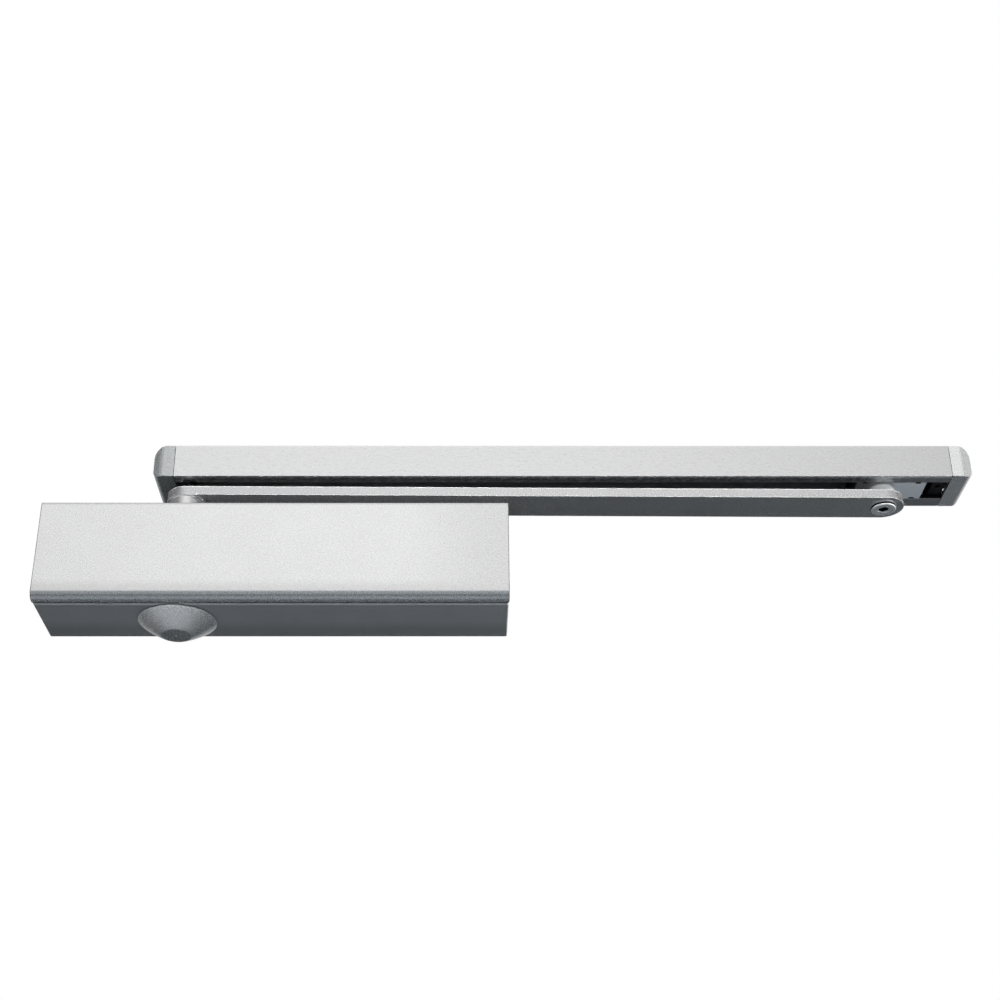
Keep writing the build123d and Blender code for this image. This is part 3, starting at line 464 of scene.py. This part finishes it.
def closing_coil():
    """Closing spring: a circle, the wire, is carried along a helix. The rise per turn is a little more than
    the wire's own width in the end turns and grows smoothly to an even pitch between them, and the sum of the
    rises is scaled to the spring's length."""
    (left, front, _), (right, back, _) = corners("main_spring")
    wire, turns, gap, travel = 2.5, 11, 0.3, 23.562
    turn_steps, wire_sides = 48, 16
    radius, middle = (back - front) / 2 - wire, (back + front) / 2
    t = np.linspace(0, turns, turns * turn_steps + 1)
    open_share = np.clip(t - 1, 0, 1) * np.clip(turns - 1 - t, 0, 1)
    rise = np.concatenate([[0], np.cumsum((open_share[1:] + open_share[:-1]) / 2)])
    length = right - left - 2 * wire
    x = left + wire + (2 * wire + gap) * t + (length - (2 * wire + gap) * turns) * rise / rise[-1]
    a, b = (2 * np.pi * t)[:, None], np.linspace(0, 2 * np.pi, wire_sides, endpoint=False)[None]
    reach = radius + wire * np.cos(b)
    skin = np.stack([x[:, None] + wire * np.sin(b), middle + reach * np.cos(a), reach * np.sin(a)], -1)
    shape = joined(sheet(skin, close_cols=True), panel(skin[0]), panel(skin[-1]))
    made = piece("closing_coil", shape, "closer_body", spring_oiled, ["main_spring"])
    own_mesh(made)


# Arm


def arm_plate():
    """The arm: a flat bar with round ends. Its outline is two half circles about the spindle and the pivot
    joined by straight sides; the edges draw in round small quarter circles. Rings close the flats round the
    two holes."""
    low, high = arm_low, arm_high
    wide, edge = arm_right - pivot[0], 0.25
    recess, recess_deep, journal, spigot = 7.5, 3.5, 5.05, 8.02
    along = pivot[:2] - spindle[:2]
    reach = np.linalg.norm(along)
    along = along / reach
    across = np.array([-along[1], along[0]])
    step_deg, back_deg, hair_deg, tiny = 3.75, 135, 0.01, 1e-6
    fan = np.radians(np.arange(-back_deg, back_deg + 0.1, step_deg))
    straight = np.abs(fan) > np.pi / 2 + tiny

    def end(radius):
        """One end's outline: a half circle, then straight sides as far back as the bar is wide."""
        x = np.where(straight, -wide * np.abs(np.cos(fan) / np.sin(fan)), radius * np.cos(fan))
        y = np.where(straight, np.sign(fan) * radius, radius * np.sin(fan))
        return np.stack([x, y], 1)

    def level(radius):
        """The whole outline at one level: the pivot's end, then the spindle's end turned half round."""
        tip = end(radius)
        return np.concatenate([tip + (reach, 0), -tip])

    def placed(flat, z):
        """Turns points along the bar into their place, at a height."""
        flat = np.asarray(flat, float)
        spot = spindle[:2] + flat[..., :1] * along + flat[..., 1:] * across
        return np.concatenate([spot, np.broadcast_to(np.asarray(z, float), spot.shape[:-1] + (1,))], -1)

    a = np.linspace(0, np.pi / 2, 5)
    insets = np.concatenate([edge * (1 - np.sin(a)), edge * (1 - np.cos(a))])
    heights = np.concatenate([low + edge * (1 - np.cos(a)), high - edge * (1 - np.sin(a))])
    side = np.stack([placed(level(wide - inset), z) for inset, z in zip(insets, heights)])
    ring = np.radians(np.arange(-180, 180, step_deg))
    circle = np.stack([np.cos(ring), np.sin(ring)], 1)

    def flat_end(hole, z, facing):
        """A flat round one hole: from the hole's circle out to the end's outline and, behind it, to a
        straight line. Gives the flat and the points on that line."""
        radius = wide - edge
        behind = np.cos(ring) < -tiny
        beyond = np.abs(ring) > radians(back_deg + hair_deg)
        side_x = -wide * np.abs(np.cos(ring) / np.sin(np.where(ring == 0, 1, ring)))
        line_y = radius * np.tan(np.pi - np.abs(ring)) * np.sign(ring)
        far_x = np.where(behind, np.where(beyond, -wide, side_x), radius * np.cos(ring))
        far_y = np.where(behind, np.where(beyond, line_y, radius * np.sign(ring)), radius * np.sin(ring))
        shift = np.array([reach if facing > 0 else 0.0, 0.0])
        near, far = facing * circle * hole + shift, facing * np.stack([far_x, far_y], 1) + shift
        line = far[np.abs(ring) > radians(back_deg - hair_deg)]
        return sheet(placed(np.stack([near, far]), z), close_cols=True), placed(line, z)

    def flat(z, pivot_hole, spindle_hole):
        """Both ends' flats and the plain stretch between them."""
        one, edge_one = flat_end(pivot_hole, z, 1)
        two, edge_two = flat_end(spindle_hole, z, -1)
        middle = np.concatenate([edge_one[np.argsort(edge_one[:, 1])], edge_two[np.argsort(-edge_two[:, 1])]])
        return [one, two, panel(middle)]

    def well(rows, facing):
        """A round hole's wall, from rows of radius and height."""
        shift = np.array([reach if facing > 0 else 0.0, 0.0])
        return sheet(np.stack([placed(facing * circle * r + shift, z) for r, z in rows]), close_cols=True)

    step = low + recess_deep
    pivot_well = well([(recess, low), (recess, step), (journal, step), (journal, high)], 1)
    spindle_well = well([(spigot, low), (spigot, high)], -1)
    flats = flat(low, recess, spigot) + flat(high, journal, spigot)
    shape = joined(sheet(side, close_cols=True), *flats, pivot_well, spindle_well)
    piece("arm_plate", shape, "spindle_arm", arm_paint, ["arm_bar"])


def hub_rings():
    """The hub under the arm, a profile turned about the spindle: a plain round body with softened edges, a
    riveted spigot above, a square socket below and a hole for the screw."""
    (_, _, low), (right, _, high) = corners("arm_hub")
    wide = right - spindle[0]
    low_edge, high_edge, spigot, hole, floor_deep, slant = 0.6, 0.45, 8, 3.3, 4, 0.1
    floor_high = high - floor_deep
    rows = [(spindle_socket, low), (wide - low_edge, low)]
    rows += arc_rows(wide - low_edge, low + low_edge, low_edge, -90, 0)
    rows += arc_rows(wide - high_edge, arm_seat - high_edge, high_edge, 0, 90)
    rows += [(spigot, arm_seat), (spigot, high), (hole, high), (hole, floor_high)]
    rows += [(spindle_socket, floor_high - slant)]
    shape = sheet(rings(rows, spindle), close_rows=True, close_cols=True)
    piece("hub_rings", shape, "spindle_arm", hub_steel, ["arm_hub"])


def hub_screw():
    """Screw through the hub, a profile turned about the spindle: a plain shank, a domed head and a hexagon
    socket."""
    (_, _, low), (right, _, high) = corners("arm_screw")
    wide = right - spindle[0]
    shank, dome, six = 2.98, 1.65, hex_ring(4)
    rows = [(0, low), (2.6, low), (shank, low + 0.4), (shank, arm_top), (wide - 0.15, arm_top)]
    rows += [(wide, arm_top + 0.2)]
    rows += arc_rows(wide - dome, high - dome, dome, 0, 90, 8)
    rows += [(six * 1.12, high), (six, high - 0.35), (six, high - 2.2), (0, high - 2.7)]
    shape = sheet(rings(rows, spindle), close_cols=True)
    piece("hub_screw", shape, "spindle_arm", bright_steel, ["arm_screw"])


# Pivot and slider


def pivot_bolt():
    """Screw under the arm's far end, a profile turned about the pivot: a bevelled head with a hexagon socket,
    a plain journal and a thinner thread."""
    low, (right, _, high) = bolt_low, corners("pivot_screw")[1]
    wide = right - pivot[0]
    head, journal, thread, six = 4.9, 5, 4, hex_ring(5.5)
    rows = [(0, low + 3.1), (six, low + 2.6), (six, low + 0.85), (six * 1.2, low + 0.08), (six * 1.23, low)]
    rows += [(wide - 0.35, low), (wide - 0.25, low + 0.03), (wide - 0.04, low + 0.2), (wide, low + 0.35)]
    rows += [(wide, low + head - 0.1), (wide - 0.1, low + head), (journal, low + head), (journal, slider_low)]
    rows += [(thread, slider_low), (thread, high - 0.5), (thread - 0.5, high), (0, high)]
    shape = sheet(rings(rows, pivot), close_cols=True)
    piece("pivot_bolt", shape, "slider", bolt_steel, ["pivot_screw"])


def pivot_collar():
    """Distance bush between the arm and the slider, a profile turned about the pivot: a ring with a softened
    lower edge and a flared upper one."""
    (_, _, low), (right, _, high) = corners("pivot_bush")
    wide = right - pivot[0]
    bore, edge = 5.02, 0.4
    rows = [(bore, low), (wide - edge, low)] + arc_rows(wide - edge, low + edge, edge, -90, 0)
    rows += [(wide, high - 0.9), (wide + 0.06, high - 0.5), (wide + 0.3, high - 0.12), (wide + 0.45, high)]
    rows += [(bore, high)]
    shape = sheet(rings(rows, pivot), close_rows=True, close_cols=True)
    piece("pivot_collar", shape, "slider", bush_steel, ["pivot_bush"])


# Track


def track_rail():
    """The track's channel: its section, an outer and an inner outline that meet at the slot's two lips, is
    carried along the track; the ends close between the outer and the inner half. The inside keeps a duller
    finish, with painted shade near black on the slot's walls and the lips."""
    (left, front, low), (right, back, high) = corners("track_channel")
    wall, web, lip = 2.2, 2.5, 3.0
    slot_front, slot_back = front + 7.35, back - 9.2
    outer = [(slot_front, low), (front, low), (front, high), (back, high), (back, low), (slot_back, low)]
    inner = [(slot_back, low + lip), (back - wall, low + lip), (back - wall, high - web)]
    inner += [(front + wall, high - web), (front + wall, low + lip), (slot_front, low + lip)]
    slot_r, low_r, top_r, inner_r = 0.25, 0.3, 0.15, 0.5
    outer_radii = [slot_r, low_r, top_r, top_r, low_r, slot_r]
    inner_radii = [slot_r, inner_r, inner_r, inner_r, inner_r, slot_r]
    loop = rounded(outer + inner, outer_radii + inner_radii, 6)
    count = len(loop) // 2
    grid = np.stack([np.column_stack([np.full(len(loop), x), loop]) for x in (left, right)])
    ends = [sheet(np.stack([grid[k, :count], grid[k, :count - 1:-1]])) for k in (0, 1)]
    shape = joined(sheet(grid, close_cols=True), *ends)
    made = piece("track_rail", shape, "track", track_satin, ["track_channel"])
    made.data.materials.append(track_inside)
    middles = np.empty(len(made.data.polygons) * 3)
    made.data.polygons.foreach_get("center", middles)
    _, y, z = middles.reshape(-1, 3).T / MM
    margin, low_margin = 0.5, 0.3
    inside = (y > front + margin) & (y < back - margin) & (z > low + low_margin) & (z < high - margin)
    made.data.polygons.foreach_set("material_index", inside.astype(np.int32))


def end_cap(name, node, side, finish):
    """A track's end cap. Seen from the front its outline has a small lower and a large upper outer corner;
    seen from above its front is flat, then slopes back and turns round an upright edge, and its rear edge is
    round too. The front face fills the outline drawn in by a soft edge, the edge turns a quarter circle along
    the outline's normal, and the wall runs straight back from there. A pocket for the bracket is open to the
    seam and the back."""
    low, high = corners(node)
    long, deep, tall = high - low
    gap, soft = 0.3, 0.4
    corner, foot, rear = 7.8, 4.2, 3.0
    flat, slope, bend, edge = 8.2, 2.5, 8.0, 1.5
    pocket, pocket_low, pocket_high, pocket_front = 8.0, 3.0, tall - 1.8, 4.2 - deep
    lean = np.arctan2(slope, long - flat)

    def arc(x, middle, radius):
        """Rise of a quarter circle: the whole radius up to its middle, then down to nothing."""
        return np.sqrt(np.maximum(radius ** 2 - np.maximum(x - middle, 0) ** 2, 0))

    def front(x):
        """Where the front lies: at the flat, round the bend, down the slope and round the upright edge."""
        bend_x, edge_x = flat - bend * np.tan(lean / 2), long - edge
        edge_y = (edge_x - flat) * np.tan(lean) + edge / np.cos(lean)
        y = np.where(x < bend_x + bend * np.sin(lean), bend - arc(x, bend_x, bend), (x - flat) * np.tan(lean))
        return np.where(x > edge_x + edge * np.sin(lean), edge_y - arc(x, edge_x, edge), y) - deep

    x = long - corner + (corner - soft) * np.sin(np.linspace(0, np.pi / 2, 41))
    x = np.concatenate([np.linspace(gap, x[0], 13)[:-1], x])
    count = len(x)
    low_rise, high_rise = arc(x, long - foot, foot - soft), arc(x, long - corner, corner - soft)
    low_out = np.maximum(x - long + foot, 0) / (foot - soft)
    high_out = np.maximum(x - long + corner, 0) / (corner - soft)
    out_x = np.concatenate([low_out, high_out[::-1]])
    out_z = np.concatenate([-low_rise / (foot - soft), high_rise[::-1] / (corner - soft)])
    x, z = np.concatenate([x, x[::-1]]), np.concatenate([foot - low_rise, (tall - corner + high_rise)[::-1]])
    t = np.linspace(0, np.pi / 2, 6)[:, None]
    out, drop = soft * np.sin(t), soft * (1 - np.cos(t))
    rows = np.stack([x + out * out_x, front(x) + drop, z + out * out_z], -1)
    last = rows[-1].copy()
    last[:, 1] = arc(last[:, 0], long - rear, rear) - rear
    skin = np.concatenate([rows, last[None]])

    def placed(p):
        """Puts points measured from the seam in their place on the track's left or right."""
        p = np.asarray(p, float)
        seam = low[0] if side > 0 else high[0]
        return np.stack([seam + side * p[..., 0], high[1] + p[..., 1], low[2] + p[..., 2]], -1)

    def across(row):
        """The face between the lower and the upper half of one row of the skin."""
        return np.stack([row[:count], row[:count - 1:-1]])

    def pocket_outline(y):
        """The pocket's four corners at a depth, from the seam's upper one round to its lower one."""
        round_it = ((gap, pocket_high), (pocket, pocket_high), (pocket, pocket_low), (gap, pocket_low))
        return [[x, y, z] for x, z in round_it]

    square = int((across(last)[:, :, 0].max(0) <= long - rear).sum()) - 1
    mouth, bottom = pocket_outline(0), pocket_outline(pocket_front)
    back_face = np.concatenate([last[:square + 1], last[2 * count - 1 - square:], mouth])
    seam_face = np.concatenate([skin[::-1, 0], skin[:, -1], [mouth[0], bottom[0], bottom[3], mouth[3]]])
    well = [[mouth[k], mouth[k + 1], bottom[k + 1], bottom[k]] for k in range(3)] + [bottom]
    flats = [panel(placed(p)) for p in (back_face, seam_face, *well)]
    sheets = [sheet(placed(skin)), sheet(placed(across(skin[0]))), sheet(placed(across(last)[:, square:]))]
    piece(name, joined(*sheets, *flats), "track", finish, [node], crease=40)


cover_shell()
spindle_cone()
arm_plate()
hub_rings()
hub_screw()
closing_coil()
pivot_bolt()
pivot_collar()
track_rail()
end_cap("left_cap_shell", "left_end_cap", -1, left_cap_painted_shade)
end_cap("right_cap_shell", "right_end_cap", 1, right_cap_painted_light)

# Stage, light and camera, in metres

floor_z = -0.95


def studio_sweep():
    """The floor: flat under and behind the object, then in front of it a quarter circle that ends upright."""
    half, wall_y, bend = 14.0, -3.8, 1.65
    a = np.linspace(0, np.pi / 2, 13)
    y = np.concatenate([[half], wall_y + bend - bend * np.sin(a)])
    z = np.concatenate([[floor_z], floor_z + bend - bend * np.cos(a)])
    grid = np.stack([np.stack([np.full_like(y, x), y, z], -1) for x in (-half, half)], 1)
    points, faces = sheet(grid)
    mesh = bpy.data.meshes.new("floor")
    mesh.from_pydata(points.tolist(), [], faces)
    mesh.polygons.foreach_set("use_smooth", np.ones(len(mesh.polygons), bool))
    made = bpy.data.objects.new("floor", mesh)
    bpy.context.scene.collection.objects.link(made)
    return made


def pale_floor():
    """Matt floor. Seen straight it is pale all over; in metal it shows pale only beyond the studio's working
    area."""
    finish, body, add, join = shader("floor_matt")
    body.inputs["Base Color"].default_value = (0.75, 0.75, 0.75, 1)
    body.inputs["Roughness"].default_value = 0.9
    body.inputs["Emission Color"].default_value = (0.96, 0.985, 1.0, 1)
    place = add.new("ShaderNodeTexCoord")
    reach = add.new("ShaderNodeVectorMath")
    reach.operation = "DISTANCE"
    reach.inputs[1].default_value = (0.2, 0.9, floor_z)
    join(place.outputs["Object"], reach.inputs[0])
    far = ramp(add, join, reach.outputs["Value"], 2.2, 3.7, 0.0, 0.27)
    path = add.new("ShaderNodeLightPath").outputs
    seen = maths(add, join, "MULTIPLY", path["Is Camera Ray"], 0.72)
    shown = maths(add, join, "MAXIMUM", path["Is Glossy Ray"], path["Is Transmission Ray"])
    join(maths(add, join, "MULTIPLY_ADD", far, shown, seen), body.inputs["Emission Strength"])
    return finish


def studio_air():
    """The world. Metal shows a white room that darkens to both sides and is lit low behind the object. Seen
    straight it is white. Everything else gets a faint even light."""
    world = bpy.data.worlds.new("studio")
    bpy.context.scene.world = world
    world.use_nodes = True
    add, join = world.node_tree.nodes, world.node_tree.links.new
    add.clear()
    way = add.new("ShaderNodeTexCoord")
    split = add.new("ShaderNodeSeparateXYZ")
    join(way.outputs["Generated"], split.inputs["Vector"])
    x, y, z = (split.outputs[axis] for axis in "XYZ")
    left, right = ramp(add, join, x, -0.1, -0.8, 1.0, 0.15), ramp(add, join, x, 0.0, 0.6, 1.0, 0.4)
    behind, low = ramp(add, join, y, -0.2, 0.2, 0.0, 0.9), ramp(add, join, z, 0.28, 0.4, 1.0, 0.0)
    sides = maths(add, join, "MULTIPLY", left, right)
    low_behind = maths(add, join, "MULTIPLY", behind, low)
    room = maths(add, join, "MAXIMUM", sides, low_behind)
    path = add.new("ShaderNodeLightPath").outputs
    seen = add.new("ShaderNodeBackground")
    seen.inputs["Color"].default_value = (1, 1, 1, 1)
    join(maths(add, join, "MAXIMUM", room, path["Is Camera Ray"]), seen.inputs["Strength"])
    ambient = add.new("ShaderNodeBackground")
    ambient.inputs["Color"].default_value = (0.85, 0.93, 1.0, 1)
    ambient.inputs["Strength"].default_value = 0.035
    either = maths(add, join, "MAXIMUM", path["Is Camera Ray"], path["Is Glossy Ray"])
    choose = add.new("ShaderNodeMixShader")
    join(maths(add, join, "MAXIMUM", either, path["Is Transmission Ray"]), choose.inputs["Fac"])
    join(ambient.outputs["Background"], choose.inputs[1])
    join(seen.outputs["Background"], choose.inputs[2])
    out = add.new("ShaderNodeOutputWorld")
    join(choose.outputs["Shader"], out.inputs["Surface"])


def softbox(name, place, target, width, height, watts, colour, spread_deg):
    """A rectangular lamp at a place, turned to a target."""
    lamp = bpy.data.lights.new(name, "AREA")
    lamp.shape = "RECTANGLE"
    lamp.size, lamp.size_y = width, height
    lamp.energy = watts
    lamp.color = colour
    lamp.spread = radians(spread_deg)
    holder = bpy.data.objects.new(name, lamp)
    holder.location = place
    holder.rotation_euler = (Vector(target) - Vector(place)).to_track_quat("-Z", "Y").to_euler()
    holder.visible_glossy = False
    holder.visible_camera = False
    bpy.context.scene.collection.objects.link(holder)


floor = studio_sweep()
floor.data.materials.append(pale_floor())
studio_air()

# Lamps that shine straight down lean by a millimetre, so that it is clear which way their width lies
daylight, white = (0.84, 0.925, 1.0), (1, 1, 1)
softbox("key", (-0.3, -0.25, -0.3), (-0.3, -0.249, floor_z), 1.6, 0.9, 1.5, daylight, 70)
softbox("front", (-0.2, -1.9, 0.3), (-0.2, -1.899, floor_z), 1.2, 1.2, 2.0, daylight, 80)
softbox("rear", (1.1, 1.9, 0.2), (1.1, 1.901, floor_z), 0.8, 0.8, 0.5, daylight, 90)
softbox("low", (0.85, 0.2, -0.75), (0.37, -0.02, 0.05), 0.3, 0.3, 0.10, daylight, 60)
softbox("side", (1.8, -0.1, 0.08), (0.36, -0.02, 0.05), 0.4, 0.08, 0.8, white, 30)
softbox("top", (0.15, 0.0, 1.9), (0.15, 0.001, floor_z), 1.6, 0.3, 3, daylight, 120)
softbox("back", (0.15, 2.2, 0.1), (0.13, 0.0, 0.05), 1.5, 0.2, 6, daylight, 60)
softbox("face", (0.13, -2.0, 0.02), (0.13, 0.0, 0.02), 1.8, 0.08, 2.7, white, 25)

focal_px, picture_px, sensor_mm = 1615.82, 1000, 36
turn_deg, rise_deg, roll_deg = -0.30, 27.05, -0.13
eye = bpy.data.cameras.new("photo_view")
eye.lens = focal_px * sensor_mm / picture_px
eye.sensor_width = sensor_mm
eye.shift_x = 0.02976
eye.shift_y = 0.06944
eye.clip_end = 80
camera = bpy.data.objects.new("photo_view", eye)
camera.matrix_world = (
    Matrix.Translation((0.10691, -0.85507, -0.42262))
    @ Matrix.Rotation(radians(turn_deg), 4, "Z")
    @ Matrix.Rotation(radians(90 + rise_deg), 4, "X")
    @ Matrix.Rotation(radians(roll_deg), 4, "Z")
)
bpy.context.scene.collection.objects.link(camera)
bpy.context.scene.camera = camera
bpy.context.scene.view_settings.view_transform = "Standard"
